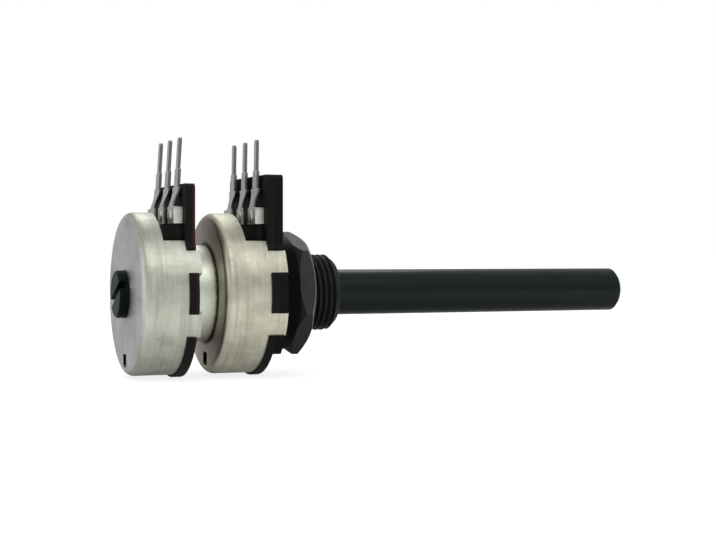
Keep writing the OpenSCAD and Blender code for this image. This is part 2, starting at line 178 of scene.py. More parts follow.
@dataclass(frozen=True)
class Finish:
    """What every finish shares: a colour that drifts, a roughness and a fine bump."""

    name: str
    colour: str
    second: str
    roughness: float
    metallic: float = 0.0
    ior: float = 1.5
    specular: float = 0.5
    # size in mm of the slow drift between the two colours, and how far it goes
    patch: float = 3.0
    spread: float = 0.5
    # the noise at which the drift starts and is full
    drift: tuple[float, float] = (0.35, 0.65)
    # size in mm of the surface texture along X, Y and Z, and its height in mm
    grain: Point = (0.2, 0.2, 0.2)
    height: float = 0.004
    # how far the roughness wanders with the grain, and the grain's lowest and highest noise
    uneven: float = 0.06
    wander: tuple[float, float] = (0.3, 0.7)

    def material(self) -> bpy.types.Material:
        """Builds the material, or returns it if it was built before.

        Returns:
            The material.
        """
        made = bpy.data.materials.get(self.name)
        if made is not None:
            return made
        made = bpy.data.materials.new(self.name)
        made.use_nodes = True
        tree = made.node_tree
        tree.nodes.clear()
        draft = Draft(tree)
        grain = self.texture(draft)
        rough = add_node(
            tree, "ShaderNodeMapRange",
            {
                "From Min": self.wander[0], "From Max": self.wander[1],
                "To Min": self.roughness - self.uneven, "To Max": self.roughness + self.uneven,
            },
            {"Value": grain},
        )
        bump = add_node(
            tree, "ShaderNodeBump", {"Distance": self.height * MM, "Strength": 1.0},
            {"Height": grain},
        )
        shader = add_node(
            tree, "ShaderNodeBsdfPrincipled", {"Metallic": self.metallic},
            {
                "Base Color": self.tint(draft), "Roughness": rough.outputs["Result"],
                "Normal": bump.outputs["Normal"],
            },
        )
        if not self.metallic:
            shader.inputs["IOR"].default_value = self.ior
            shader.inputs["Specular IOR Level"].default_value = self.specular
        self.extras(draft, shader)
        add_node(tree, "ShaderNodeOutputMaterial", {}, {"Surface": shader.outputs["BSDF"]})
        return made

    def tint(self, draft: Draft) -> Socket:
        """Mixes the two colours in slow patches.

        Args:
            draft: The material's node tree.

        Returns:
            The colour's socket.
        """
        share = add_node(
            draft.tree, "ShaderNodeMapRange",
            {
                "From Min": self.drift[0], "From Max": self.drift[1],
                "To Min": 0.0, "To Max": self.spread,
            },
            {"Value": draft.noise((self.patch,) * 3, RICH)},
        )
        mix = add_node(
            draft.tree, "ShaderNodeMix",
            {"data_type": "RGBA", 6: linear(self.colour), 7: linear(self.second)},
            {0: share.outputs["Result"]},
        )
        return mix.outputs[2]

    def texture(self, draft: Draft) -> Socket:
        """Draws the fine surface texture.

        Args:
            draft: The material's node tree.

        Returns:
            The height's socket, from zero to one.
        """
        return draft.noise(self.grain, PLAIN)

    def extras(self, draft: Draft, shader: bpy.types.Node) -> None:
        """Sets what only this finish has; the plain one has nothing more."""


@dataclass(frozen=True)
class DrawnSheet(Finish):
    """Sheet drawn over a punch: lined along the draw on its walls, as rolled on its flat end."""

    patch: float = 2.2
    spread: float = 0.8
    grain: Point = (0.35, 0.35, 0.35)
    height: float = 0.007
    # the lines' share beside the pebbled ground, and their sizes in mm on the walls and the end
    rub: float = 0.35
    drawn: Point = (6.0, 0.16, 0.16)
    rolled: Point = (6.0, 0.14, 5.0)
    # the flat ends that face -X are painted lighter and cooler for the light they catch: their
    # colour, and the facings where it starts and is full
    flat: str = "#d8d9da"
    ends: tuple[float, float] = (-0.6, -0.95)
    # the colour of the dull marks; then for the rings left by the punch, the smudges and the
    # short rubs: the size in mm, the noise from which they start and are full, and the share
    rubbed: str = "#75766c"
    marks: tuple[tuple[Point, float, float, float], ...] = (
        ((0.45, 9.0, 9.0), 0.45, 0.7, 0.3),
        ((3.2, 1.8, 1.8), 0.5, 0.72, 0.24),
        ((0.9, 0.1, 0.5), 0.66, 0.74, 0.2),
    )
    # the slot that the stop was lanced from: its height and reach in mm, the painted shade on its
    # sheared walls and the facing along X below which a face is a wall
    slot_z: float = -7.95
    slot_reach: float = 1.35
    sheared: str = "#2b2a26"
    wall: float = 0.6

    def texture(self, draft: Draft) -> Socket:
        """Lays the lines over a pebbled ground.

        Args:
            draft: The material's node tree.

        Returns:
            The height's socket.
        """
        end = add_node(
            draft.tree, "ShaderNodeMath", {"operation": "ABSOLUTE"},
            {0: draft.facing.outputs["X"]},
        )
        lines = add_node(
            draft.tree, "ShaderNodeMix", {"data_type": "FLOAT"},
            {
                0: end.outputs[0], 2: draft.noise(self.drawn, PLAIN),
                3: draft.noise(self.rolled, PLAIN),
            },
        )
        mix = add_node(
            draft.tree, "ShaderNodeMix", {"data_type": "FLOAT", 0: self.rub},
            {2: draft.noise(self.grain, RICH), 3: lines.outputs[0]},
        )
        return mix.outputs[0]

    def tint(self, draft: Draft) -> Socket:
        """Lays the flat ends' painted light, the dull marks and the slot's painted shade over the
        drifting colours.

        Args:
            draft: The material's node tree.

        Returns:
            The colour's socket.
        """
        ends = add_node(
            draft.tree, "ShaderNodeMapRange",
            {"From Min": self.ends[0], "From Max": self.ends[1]},
            {"Value": draft.facing.outputs["X"]},
        )
        # painted light: the faces towards -X get a lighter, cooler colour by their facing
        layers = [(self.flat, ends.outputs["Result"])]
        for size, low, high, share in self.marks:
            amount = add_node(
                draft.tree, "ShaderNodeMapRange",
                {"From Min": low, "From Max": high, "To Min": 0.0, "To Max": share},
                {"Value": draft.noise(size, PLAIN)},
            )
            layers.append((self.rubbed, amount.outputs["Result"]))
        # painted shade: the slot's walls are darkened as the inside of the slot
        layers.append((self.sheared, self.slot_walls(draft)))
        colour = super().tint(draft)
        for code, share in layers:
            mix = add_node(
                draft.tree, "ShaderNodeMix", {"data_type": "RGBA", 7: linear(code)},
                {0: share, 6: colour},
            )
            colour = mix.outputs[2]
        return colour

    def slot_walls(self, draft: Draft) -> Socket:
        """Finds the walls of the slot that the stop was lanced from.

        Args:
            draft: The material's node tree.

        Returns:
            The share's socket: one on the walls, zero elsewhere.
        """
        across = add_node(
            draft.tree, "ShaderNodeCombineXYZ", {},
            {1: draft.place.outputs["Y"], 2: draft.place.outputs["Z"]},
        )
        away = add_node(
            draft.tree, "ShaderNodeVectorMath",
            {"operation": "DISTANCE", 1: (0.0, 0.0, self.slot_z * MM)}, {0: across.outputs[0]},
        )
        near = add_node(
            draft.tree, "ShaderNodeMath",
            {"operation": "LESS_THAN", 1: self.slot_reach * MM}, {0: away.outputs["Value"]},
        )
        along = add_node(
            draft.tree, "ShaderNodeMath", {"operation": "ABSOLUTE"},
            {0: draft.facing.outputs["X"]},
        )
        wall = add_node(
            draft.tree, "ShaderNodeMath", {"operation": "LESS_THAN", 1: self.wall},
            {0: along.outputs[0]},
        )
        both = add_node(
            draft.tree, "ShaderNodeMath", {"operation": "MULTIPLY"},
            {0: near.outputs[0], 1: wall.outputs[0]},
        )
        return both.outputs[0]


@dataclass(frozen=True)
class NeckedSheet(DrawnSheet):
    """Sheet with a second, narrower draw: a painted reflection brightens its neck and a ring of
    painted shade darkens its foot.
    """

    # the ring of painted shade in the crease at the neck's foot: its place along X, its radius and
    # its reach, in mm
    ring: Point = (-10.5, 6.3, 0.35)
    foot_shade: str = "#2e281c"
    # the neck's painted reflection colour, and how far behind the ring it starts and is full, in mm
    neck_reflection: str = "#cdd3c6"
    neck: tuple[float, float] = (0.1, 0.9)
    # size in mm of the ring's ragged edge, the edge's swing and where the painted shade is full and
    # gone, both as shares of the ring's reach, and how dark it is
    ragged: float = 0.8
    swing: float = 0.8
    fade: tuple[float, float] = (0.8, 1.6)
    darkest: float = 0.9

    def tint(self, draft: Draft) -> Socket:
        """Adds the neck's painted reflection and the ring of painted shade at its foot to the
        sheet's colours.

        Args:
            draft: The material's node tree.

        Returns:
            The colour's socket.
        """
        x, radius, reach = (value * MM for value in self.ring)
        # painted reflection: the neck behind the ring is lightened towards a pale colour
        neck = add_node(
            draft.tree, "ShaderNodeMapRange",
            {"From Min": x - self.neck[0] * MM, "From Max": x - self.neck[1] * MM},
            {"Value": draft.place.outputs["X"]},
        )
        bright = add_node(
            draft.tree, "ShaderNodeMix", {"data_type": "RGBA", 7: linear(self.neck_reflection)},
            {0: neck.outputs["Result"], 6: super().tint(draft)},
        )
        # painted shade: a ragged ring darkened at the neck's foot, in the crease between the neck
        # and the flat face
        across = add_node(
            draft.tree, "ShaderNodeCombineXYZ", {},
            {1: draft.place.outputs["Y"], 2: draft.place.outputs["Z"]},
        )
        out = add_node(
            draft.tree, "ShaderNodeVectorMath", {"operation": "LENGTH"}, {0: across.outputs[0]}
        )
        spot = add_node(
            draft.tree, "ShaderNodeCombineXYZ", {},
            {0: draft.place.outputs["X"], 1: out.outputs["Value"]},
        )
        away = add_node(
            draft.tree, "ShaderNodeVectorMath",
            {"operation": "DISTANCE", 1: (x, radius, 0.0)}, {0: spot.outputs[0]},
        )
        edge = add_node(
            draft.tree, "ShaderNodeMath",
            {"operation": "MULTIPLY_ADD", 1: self.swing * reach},
            {0: draft.noise((self.ragged,) * 3, RICH), 2: away.outputs["Value"]},
        )
        share = add_node(
            draft.tree, "ShaderNodeMapRange",
            {
                "From Min": self.fade[0] * reach, "From Max": self.fade[1] * reach,
                "To Min": self.darkest, "To Max": 0.0,
            },
            {"Value": edge.outputs[0]},
        )
        mix = add_node(
            draft.tree, "ShaderNodeMix", {"data_type": "RGBA", 7: linear(self.foot_shade)},
            {0: share.outputs["Result"], 6: bright.outputs[2]},
        )
        return mix.outputs[2]


@dataclass(frozen=True)
class TwoTone(Finish):
    """A finish whose colour changes at one place along an axis."""

    # the second tone; with none the colour doesn't change
    tone: str = ""
    tone_axis: str = "X"
    # where the second tone starts along the axis, and how wide the change is, in mm
    tone_from: float = 0.0
    tone_blend: float = 0.06

    def tint(self, draft: Draft) -> Socket:
        """Lays the second tone over the two drifting colours.

        Args:
            draft: The material's node tree.

        Returns:
            The colour's socket.
        """
        plain = super().tint(draft)
        if not self.tone:
            return plain
        half = self.tone_blend / 2
        share = add_node(
            draft.tree, "ShaderNodeMapRange",
            {"From Min": (self.tone_from - half) * MM, "From Max": (self.tone_from + half) * MM},
            {"Value": draft.place.outputs[self.tone_axis]},
        )
        mix = add_node(
            draft.tree, "ShaderNodeMix", {"data_type": "RGBA", 7: linear(self.tone)},
            {0: share.outputs["Result"], 6: plain},
        )
        return mix.outputs[2]


@dataclass(frozen=True)
class Sheared(TwoTone):
    """Plated strip cut to shape: where its second tone is, its sheared edges are duller."""

    cut: str = "#6c716f"
    # the facings along Y where an edge starts and is full, and the change's width in mm
    edge: tuple[float, float] = (0.55, 0.8)
    run_in: float = 1.0

    def tint(self, draft: Draft) -> Socket:
        """Darkens the edges that the blanking tool left bare.

        Args:
            draft: The material's node tree.

        Returns:
            The colour's socket.
        """
        side = add_node(
            draft.tree, "ShaderNodeMath", {"operation": "ABSOLUTE"},
            {0: draft.facing.outputs["Y"]},
        )
        edge = add_node(
            draft.tree, "ShaderNodeMapRange",
            {"From Min": self.edge[0], "From Max": self.edge[1]}, {"Value": side.outputs[0]},
        )
        blade = add_node(
            draft.tree, "ShaderNodeMapRange",
            {"From Min": (self.tone_from - self.run_in) * MM, "From Max": self.tone_from * MM},
            {"Value": draft.place.outputs[self.tone_axis]},
        )
        both = add_node(
            draft.tree, "ShaderNodeMath", {"operation": "MULTIPLY"},
            {0: edge.outputs["Result"], 1: blade.outputs["Result"]},
        )
        mix = add_node(
            draft.tree, "ShaderNodeMix", {"data_type": "RGBA", 7: linear(self.cut)},
            {0: both.outputs[0], 6: super().tint(draft)},
        )
        return mix.outputs[2]


@dataclass(frozen=True)
class DullEnd(Finish):
    """A finish that loses its sheen behind one place along X."""

    # the sheen behind that place, and the place and the change's width in mm
    dulled: float = 0.04
    dull_to: float = -18.0
    dull_blend: float = 1.0

    def extras(self, draft: Draft, shader: bpy.types.Node) -> None:
        """Lowers the reflection behind that place.

        Args:
            draft: The material's node tree.
            shader: The material's shader.
        """
        level = add_node(
            draft.tree, "ShaderNodeMapRange",
            {
                "From Min": (self.dull_to - self.dull_blend) * MM, "From Max": self.dull_to * MM,
                "To Min": self.dulled, "To Max": self.specular,
            },
            {"Value": draft.place.outputs["X"]},
        )
        draft.tree.links.new(level.outputs["Result"], shader.inputs["Specular IOR Level"])


@dataclass(frozen=True)
class HighlitEdge(Finish):
    """Moulding with a painted highlight on the roundings of its front edges."""

    edge_highlight: str = "#a9adac"
    # the facing along X in the middle of the roundings that get the painted highlight, and how far
    # they go from it
    turned: float = 0.45
    turn: float = 0.37

    def tint(self, draft: Draft) -> Socket:
        """Paints a highlight on the roundings that turn from the sides to the front.

        Args:
            draft: The material's node tree.

        Returns:
            The colour's socket.
        """
        # painted highlight: the roundings between the sides and the front are lightened by their
        # facing
        rubbed = add_node(
            draft.tree, "ShaderNodeMath", {"operation": "COMPARE", 1: self.turned, 2: self.turn},
            {0: draft.facing.outputs["X"]},
        )
        mix = add_node(
            draft.tree, "ShaderNodeMix", {"data_type": "RGBA", 7: linear(self.edge_highlight)},
            {0: rubbed.outputs[0], 6: super().tint(draft)},
        )
        return mix.outputs[2]


@dataclass(frozen=True)
class Layered(TwoTone):
    """Pressed paper laminate: its sheets show as fine lines, and one face may be coloured."""

    specular: float = 0.12
    grain: Point = (0.15, 0.15, 0.15)
    height: float = 0.01
    # size in mm of the sheets' lines, and the saw marks' share beside them
    sheets: Point = (0.16, 6.0, 6.0)
    sawn: float = 0.45

    def texture(self, draft: Draft) -> Socket:
        """Draws the pressed sheets across the thickness, broken by the saw.

        Args:
            draft: The material's node tree.

        Returns:
            The height's socket.
        """
        mix = add_node(
            draft.tree, "ShaderNodeMix", {"data_type": "FLOAT", 0: self.sawn},
            {2: draft.noise(self.sheets, PLAIN), 3: draft.noise(self.grain, RICH)},
        )
        return mix.outputs[0]


@dataclass(frozen=True)
class Translucent(Finish):
    """Natural plastic that lets a little light in."""

    # how much of the light goes in, how far in mm, and the share of that for red, green, blue
    inside: float = 0.15
    depth: float = 0.4
    reach: Point = (1.0, 0.8, 0.6)

    def extras(self, draft: Draft, shader: bpy.types.Node) -> None:
        """Lets light scatter under the surface.

        Args:
            draft: The material's node tree.
            shader: The material's shader.
        """
        shader.inputs["Subsurface Weight"].default_value = self.inside
        shader.inputs["Subsurface Radius"].default_value = self.reach
        shader.inputs["Subsurface Scale"].default_value = self.depth * MM


# Tinplate, drawn: a warm grey satin with faint draw lines, and a flat end painted lighter and
# cooler for the light it catches
TINPLATE = DrawnSheet("drawn_tinplate", "#b9bbae", "#a8aa9d", 0.43, 1.0)
# Tinplate, drawn twice: the same sheet, with a painted reflection on its neck, painted shade
# at the neck's foot and a flat end painted lighter for the light it catches
NECKED_TINPLATE = NeckedSheet(
    "twice_drawn_tinplate", "#c0bfae", "#aeac99", 0.43, 1.0, flat="#d6cfc0"
)
# Tinned brass, stamped: a warm satin on the feet, cooler on the blades and pins, where the
# sheared edges are bare and dull
TINNED_BRASS = Sheared(
    "stamped_tinned_brass", "#d0d4cc", "#bbbfb7", 0.42, 1.0, patch=0.9, spread=0.8,
    grain=(0.5, 0.5, 0.8), height=0.003, tone="#cdd1cf", tone_axis="Z", tone_from=11.4,
    tone_blend=0.8
)
# Glass-filled polyamide, moulded: greyish on the plate and tongue; the boss is painted black
# as the shade it lies in between the nut and the plate
BUSH_PLASTIC = TwoTone(
    "moulded_black_polyamide", "#191a1c", "#151517", 0.5, ior=1.53, specular=0.04, patch=1.8,
    grain=(0.22, 0.22, 0.22), height=0.006, tone="#040405", tone_from=-2.6
)
# The same polyamide, moulded in the thread's cavity: a little shinier on its crests
THREAD_PLASTIC = Finish(
    "moulded_thread_polyamide", "#18191c", "#131417", 0.5, ior=1.53, specular=0.25, patch=1.8,
    grain=(0.22, 0.22, 0.22), height=0.005
)
# Black acetal, moulded: a greenish black, smoother than the bush and dull on the stub
SPINDLE_PLASTIC = DullEnd(
    "moulded_black_acetal", "#0e1819", "#131e1f", 0.28, ior=1.48, specular=0.16, patch=4.0,
    grain=(1.6, 0.18, 0.18)
)
# Nylon, moulded: dark grey with a soft sheen, with a painted highlight on its front edges
NUT_PLASTIC = HighlitEdge(
    "moulded_grey_nylon", "#3b3e3c", "#303331", 0.48, ior=1.53, specular=0.12, patch=1.5,
    height=0.006
)
# Paper laminate, pressed and punched: black right through, for the front gang
FRONT_LAMINATE = Layered("pressed_black_laminate", "#0f0e0d", "#171513", 0.6)
# Paper laminate, pressed with red-brown sheets on its front, for the rear gang
REAR_LAMINATE = Layered(
    "pressed_brown_faced_laminate", "#0f0e0d", "#171513", 0.6, tone="#3a1a1e", tone_from=-14.3
)
# Carbon ink, printed and baked: nearly black and slightly open
CARBON_INK = Finish(
    "printed_carbon_ink", "#141516", "#1d1e20", 0.45, specular=0.4, grain=(0.08, 0.08, 0.08)
)
# Vulcanised fibre, punched: a dull olive black
FIBRE = Finish(
    "punched_vulcanised_fibre", "#0f110e", "#181b14", 0.62, specular=0.2,
    grain=(0.3, 0.12, 0.12), height=0.01
)
# Natural acetal, moulded: milky white and a little translucent
ROTOR_PLASTIC = Translucent(
    "moulded_natural_acetal", "#e6e3d9", "#dcd8cb", 0.36, ior=1.48, grain=(0.3, 0.3, 0.3)
)
# Phosphor bronze, stamped: warm spring metal
SPRING_BRONZE = Finish(
    "stamped_phosphor_bronze", "#c79a5b", "#b08046", 0.26, 1.0, patch=1.0,
    grain=(0.6, 0.12, 0.12), height=0.003
)


# ---------------------------------------------------------------- mesh helpers


@dataclass(frozen=True)
class Rounding:
    """How a process leaves an edge: its width in mm, from what angle in degrees, how many faces."""

    width: float
    sharper: float
    segments: int = 2


def finished(
    bm: bmesh.types.BMesh, name: str, finish: Finish, body: str,
    nodes: Sequence[str] = (),
) -> bpy.types.Object:
    """Turns a bmesh into a dressed piece that rides on its body.

    Args:
        bm: The shape, in metres; it is freed.
        name: The piece's name.
        finish: What it is made of.
        body: The CAD body that it moves with.
        nodes: The CAD nodes that it stands for.

    Returns:
        The new object.
    """
    mesh = bpy.data.meshes.new(name)
    bm.to_mesh(mesh)
    bm.free()
    mesh.materials.append(finish.material())
    mesh.shade_smooth()
    mesh.set_sharp_from_angle(angle=math.radians(CREASE))
    piece = bpy.data.objects.new(name, mesh)
    bpy.context.scene.collection.objects.link(piece)
    weighted = piece.modifiers.new("even_normals", "WEIGHTED_NORMAL")
    weighted.keep_sharp = True
    if nodes:
        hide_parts(*nodes)
    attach(piece, body)
    LOG.info("%s: %d faces", name, len(mesh.polygons))
    return piece


def node_copy(node: str) -> bmesh.types.BMesh:
    """Copies a CAD node's mesh, merged and with its flat faces whole.

    Args:
        node: The CAD node's name.

    Returns:
        The copy, in metres.
    """
    bm = bmesh.new()
    bm.from_mesh(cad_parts[node].data)
    bmesh.ops.remove_doubles(bm, verts=bm.verts, dist=WELD)
    bmesh.ops.dissolve_limit(
        bm, angle_limit=math.radians(FLAT), verts=bm.verts, edges=bm.edges
    )
    return bm


def round_edges(bm: bmesh.types.BMesh, rounding: Rounding) -> None:
    """Rounds every edge that is sharp enough, and merges what the rounding squeezed.

    Args:
        bm: The shape, in metres.
        rounding: How the edges are rounded.
    """
    limit = math.radians(rounding.sharper)
    edges = [e for e in bm.edges if len(e.link_faces) == 2 and e.calc_face_angle(0.0) > limit]
    bmesh.ops.bevel(
        bm, geom=edges, offset=rounding.width * MM, offset_type="OFFSET",
        segments=rounding.segments, profile=0.5, affect="EDGES", clamp_overlap=True, material=-1,
    )
    bmesh.ops.remove_doubles(bm, verts=bm.verts, dist=WELD)


def softened(
    node: str, finish: Finish, body: str, rounding: Rounding
) -> bpy.types.Object:
    """Makes a piece from a CAD node with its edges rounded as the real process leaves them.

    Args:
        node: The CAD node's name.
        finish: What it is made of.
        body: The CAD body that it moves with.
        rounding: How its edges are rounded.

    Returns:
        The new object.
    """
    bm = node_copy(node)
    round_edges(bm, rounding)
    return finished(bm, f"{node}_piece", finish, body, [node])


def dress_node(node: str, finish: Finish) -> None:
    """Gives a CAD node that shows as it is its material.

    Args:
        node: The CAD node's name.
        finish: What it is made of.
    """
    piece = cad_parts[node]
    piece.data.materials.clear()
    piece.data.materials.append(finish.material())
    LOG.info("%s: dressed as it is", node)


def lathe(
    profile: Iterable[tuple[float, float]], steps: int, lead: float = 0.0, weld: float = WELD
) -> bmesh.types.BMesh:
    """Turns an open profile about the X axis.

    Args:
        profile: Points of distance along X and radius, in millimetres.
        steps: How many faces go round.
        lead: How far the profile moves along X in one turn, in millimetres.
        weld: Points of the result that are closer than this many metres are merged.

    Returns:
        The turned shape, in metres.
    """
    bm = bmesh.new()
    verts = [bm.verts.new((x * MM, 0.0, r * MM)) for x, r in profile]
    edges = [bm.edges.new(pair) for pair in zip(verts, verts[1:])]
    bmesh.ops.spin(
        bm, geom=verts + edges, cent=(0, 0, 0), axis=(1, 0, 0), angle=math.tau, steps=steps,
        dvec=(lead * MM / steps, 0, 0), use_merge=not lead,
    )
    bmesh.ops.remove_doubles(bm, verts=bm.verts, dist=weld)
    bmesh.ops.recalc_face_normals(bm, faces=bm.faces)
    return bm


def cut_off(bm: bmesh.types.BMesh, at: float, side: int) -> None:
    """Cuts a shape across X and takes away what lies beyond the cut.

    Args:
        bm: The shape, in metres.
        at: The cut's place along X, in millimetres.
        side: 1 to take away what lies towards +X, -1 for what lies towards -X.
    """
    bmesh.ops.bisect_plane(
        bm, geom=bm.verts[:] + bm.edges[:] + bm.faces[:], dist=WELD,
        plane_co=(at * MM, 0, 0), plane_no=(side, 0, 0), clear_outer=True,
    )


# ---------------------------------------------------------------- spindle, bush and nut


@dataclass
class Spindle:
    """The long plain spindle with its chamfered end and the slot in its stub."""

    edge: Rounding = Rounding(0.06, 25.0)

    def build(self) -> None:
        """Makes the spindle with its edges softened as moulding leaves them."""
        softened("spindle", SPINDLE_PLASTIC, TURNING, self.edge)


@dataclass
class Bush:
    """The moulding with the threaded bush, its boss, the plate and the tongue."""

    major_r: float = 5.0
    root_r: float = 4.56
    bore_r: float = 3.05
    length: float = 6.6
    chamfer: float = 0.8
    # the panel face, where the thread starts, and the cut in front of it that ends the rest
    seat: float = 0.0
    cut: float = 0.05
    # the thread's pitch, each flank's share of it, and the turns to spare at its ends
    pitch: float = 0.75
    flank: float = 0.38
    spare: int = 3
    steps: int = 96
    edge: Rounding = Rounding(0.1, 50.0)
    # points of neighbouring turns closer than this many metres are merged
    seam: float = 5e-6
    # how near the plane of an end a point has to be to belong to its rim, in metres
    rim: float = 1e-6

    def build(self) -> None:
        """Makes the moulding behind the panel face and the thread in front of it."""
        self.moulding()
        self.thread()

    def moulding(self) -> None:
        """Keeps what lies behind the panel face and closes it where the bush was cut off."""
        bm = node_copy("bush_housing")
        cut_off(bm, self.cut, 1)
        bmesh.ops.bridge_loops(bm, edges=[e for e in bm.edges if e.is_boundary])
        round_edges(bm, self.edge)
        finished(bm, "bush_moulding", BUSH_PLASTIC, HOUSING, ["bush_housing"])

    def thread(self) -> None:
        """Turns the thread with its own lead, trims it, chamfers it and closes its ends."""
        bm = lathe(self.profile(), self.steps, self.pitch, self.seam)
        cut_off(bm, self.seat, -1)
        cut_off(bm, self.length, 1)
        self.chamfer_end(bm)
        self.close_ends(bm)
        finished(bm, "bush_thread", THREAD_PLASTIC, HOUSING)

    def profile(self) -> list[tuple[float, float]]:
        """Draws the thread's crests and roots along the bush, with turns to spare.

        Returns:
            Points of distance along X and radius, in millimetres.
        """
        turns = math.ceil(self.length / self.pitch) + self.spare
        half = self.pitch * 0.5
        flank = self.pitch * self.flank
        points = []
        for i in range(turns):
            start = (i - self.spare + 1) * self.pitch
            points += [
                (start, self.root_r), (start + flank, self.major_r),
                (start + half, self.major_r), (start + half + flank, self.root_r),
            ]
        points.append((points[0][0] + turns * self.pitch, self.root_r))
        return points

    def chamfer_end(self, bm: bmesh.types.BMesh) -> None:
        """Pulls the thread's crests down onto the cone at the bush's end.

        Args:
            bm: The thread, in metres.
        """
        for vert in bm.verts:
            reach = self.major_r - self.chamfer + (self.length - vert.co.x / MM)
            radius = math.hypot(vert.co.y, vert.co.z)
            if radius > reach * MM:
                vert.co.y *= reach * MM / radius
                vert.co.z *= reach * MM / radius

    def close_ends(self, bm: bmesh.types.BMesh) -> None:
        """Draws both ends in to the bore and joins them through it.

        Args:
            bm: The thread, in metres.
        """
        rims = []
        for at in (self.seat, self.length):
            rim = [
                e for e in bm.edges
                if e.is_boundary and all(abs(v.co.x - at * MM) < self.rim for v in e.verts)
            ]
            grown = bmesh.ops.extrude_edge_only(bm, edges=rim)["geom"]
            inner = {v for v in grown if isinstance(v, bmesh.types.BMVert)}
            for vert in inner:
                out = Vector((0, vert.co.y, vert.co.z)).normalized()
                vert.co = Vector((vert.co.x, 0, 0)) + out * self.bore_r * MM
            rims += [
                e for e in grown if isinstance(e, bmesh.types.BMEdge) and inner.issuperset(e.verts)
            ]
        bmesh.ops.bridge_loops(bm, edges=rims)
        bmesh.ops.recalc_face_normals(bm, faces=bm.faces)


@dataclass
class Nut:
    """The hexagon nut on the bush."""

    edge: Rounding = Rounding(0.22, 14.0, 3)

    def build(self) -> None:
        """Makes the nut with its moulded edges."""
        softened("mounting_nut", NUT_PLASTIC, NUT, self.edge)


# ---------------------------------------------------------------- the gangs


@dataclass
class Gang:
    """One gang: its board and printed track, the terminals, the rotor and the drawn cover."""

    role: Role
    laminate: Finish
    laminate_slot: str
    tinplate: Finish
    # the rivets: height above the axis, radius, head's radius and thickness, the share of that
    # which each face of a softened head's rim takes, and the spacing
    rivet_h: float = 9.85
    rivet_r: float = 0.6
    head_r: float = 0.8
    head_t: float = 0.12
    soft: float = 0.4
    pitch: float = 5.0
    steps: int = 40
    # what the rivets hold behind the board: the bar and the terminals' sheet
    bar_t: float = 0.75
    sheet: float = 0.45
    # how punching, blanking, moulding and drawing leave the edges
    punched: Rounding = Rounding(0.05, 50.0)
    blanked: Rounding = Rounding(0.07, 30.0, 3)
    moulded: Rounding = Rounding(0.08, 50.0)
    drawn: Rounding = Rounding(0.08, 45.0)

    def node(self, part: str) -> str:
        """Names one of this gang's nodes."""
        return f"{self.role.value}_{part}"

    def build(self) -> None:
        """Makes the gang from its board outwards."""
        self.board()
        self.terminals()
        self.rivets()
        self.moving_parts()
        self.cover()

    def board(self) -> None:
        """Makes the board with its printed track, collector ring and insulating bar."""
        softened(
            self.node("track_board"), self.laminate, HOUSING, self.punched
        )
        dress_node(self.node("resistive_track"), CARBON_INK)
        dress_node(self.node("collector_ring"), TINNED_BRASS)
        softened(self.node("terminal_bar"), FIBRE, HOUSING, self.punched)

    def terminals(self) -> None:
        """Makes the three stamped terminals with the rolled edges of a blanking tool."""
        for part in ("start_terminal", "wiper_terminal", "end_terminal"):
            softened(self.node(part), TINNED_BRASS, HOUSING, self.blanked)

    def rivets(self) -> None:
        """Turns three rivets with flat heads and joins them into one piece."""
        joined = bmesh.new()
        for side in (-1, 0, 1):
            one = lathe(self.rivet_profile(), self.steps)
            shift = (0, side * self.pitch * MM, self.rivet_h * MM)
            bmesh.ops.translate(one, vec=shift, verts=one.verts)
            part = bpy.data.meshes.new("rivet")
            one.to_mesh(part)
            one.free()
            joined.from_mesh(part)
            bpy.data.meshes.remove(part)
        name = self.node("terminal_rivets")
        finished(joined, f"{name}_piece", TINNED_BRASS, HOUSING, [name])

    def rivet_profile(self) -> list[tuple[float, float]]:
        """Draws half a rivet through board, bar and terminal foot, with softened heads.

        Returns:
            Points of distance along X and radius, in millimetres.
        """
        low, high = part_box(self.node("track_board"))
        board_front = high[0] / MM
        foot_back = low[0] / MM - self.bar_t - self.sheet
        back = foot_back - self.head_t
        front = board_front + self.head_t
        soft = self.head_t * self.soft
        return [
            (back, 0.0), (back, self.head_r - 2 * soft), (back + soft, self.head_r - 0.5 * soft),
            (back + 2 * soft, self.head_r), (foot_back, self.head_r), (foot_back, self.rivet_r),
            (board_front, self.rivet_r), (board_front, self.head_r),
            (front - 2 * soft, self.head_r), (front - soft, self.head_r - 0.5 * soft),
            (front, self.head_r - 2 * soft), (front, 0.0),
        ]

    def moving_parts(self) -> None:
        """Makes the rotor and its wiper spring."""
        softened(self.node("rotor"), ROTOR_PLASTIC, TURNING, self.moulded)
        dress_node(self.node("wiper_spring"), SPRING_BRONZE)

    def cover(self) -> None:
        """Makes the drawn cover with the rolled edges of the sheet."""
        softened(self.node("cover"), self.tinplate, HOUSING, self.drawn)


# ---------------------------------------------------------------- the set


@dataclass(frozen=True)
class Lamp:
    """One soft round lamp: its place and size in mm, and its power in watts."""

    name: str
    place: Point
    size: float
    power: float

    def hang(self) -> None:
        """Hangs the lamp, turned towards the origin."""
        light = bpy.data.lights.new(self.name, "AREA")
        light.shape = "DISK"
        light.size = self.size * MM
        light.energy = self.power
        holder = bpy.data.objects.new(self.name, light)
        spot = Vector(self.place) * MM
        holder.location = spot
        holder.rotation_euler = (-spot).to_track_quat("-Z", "Y").to_euler()
        bpy.context.scene.collection.objects.link(holder)


# a large lamp over the camera's side, and weaker ones at the left and beyond
LAMPS = (
    Lamp("key", (10.0, -260.0, 330.0), 280.0, 0.38),
    Lamp("left", (-300.0, -60.0, 110.0), 240.0, 0.12),
    Lamp("back", (60.0, 240.0, 260.0), 220.0, 0.25),
)


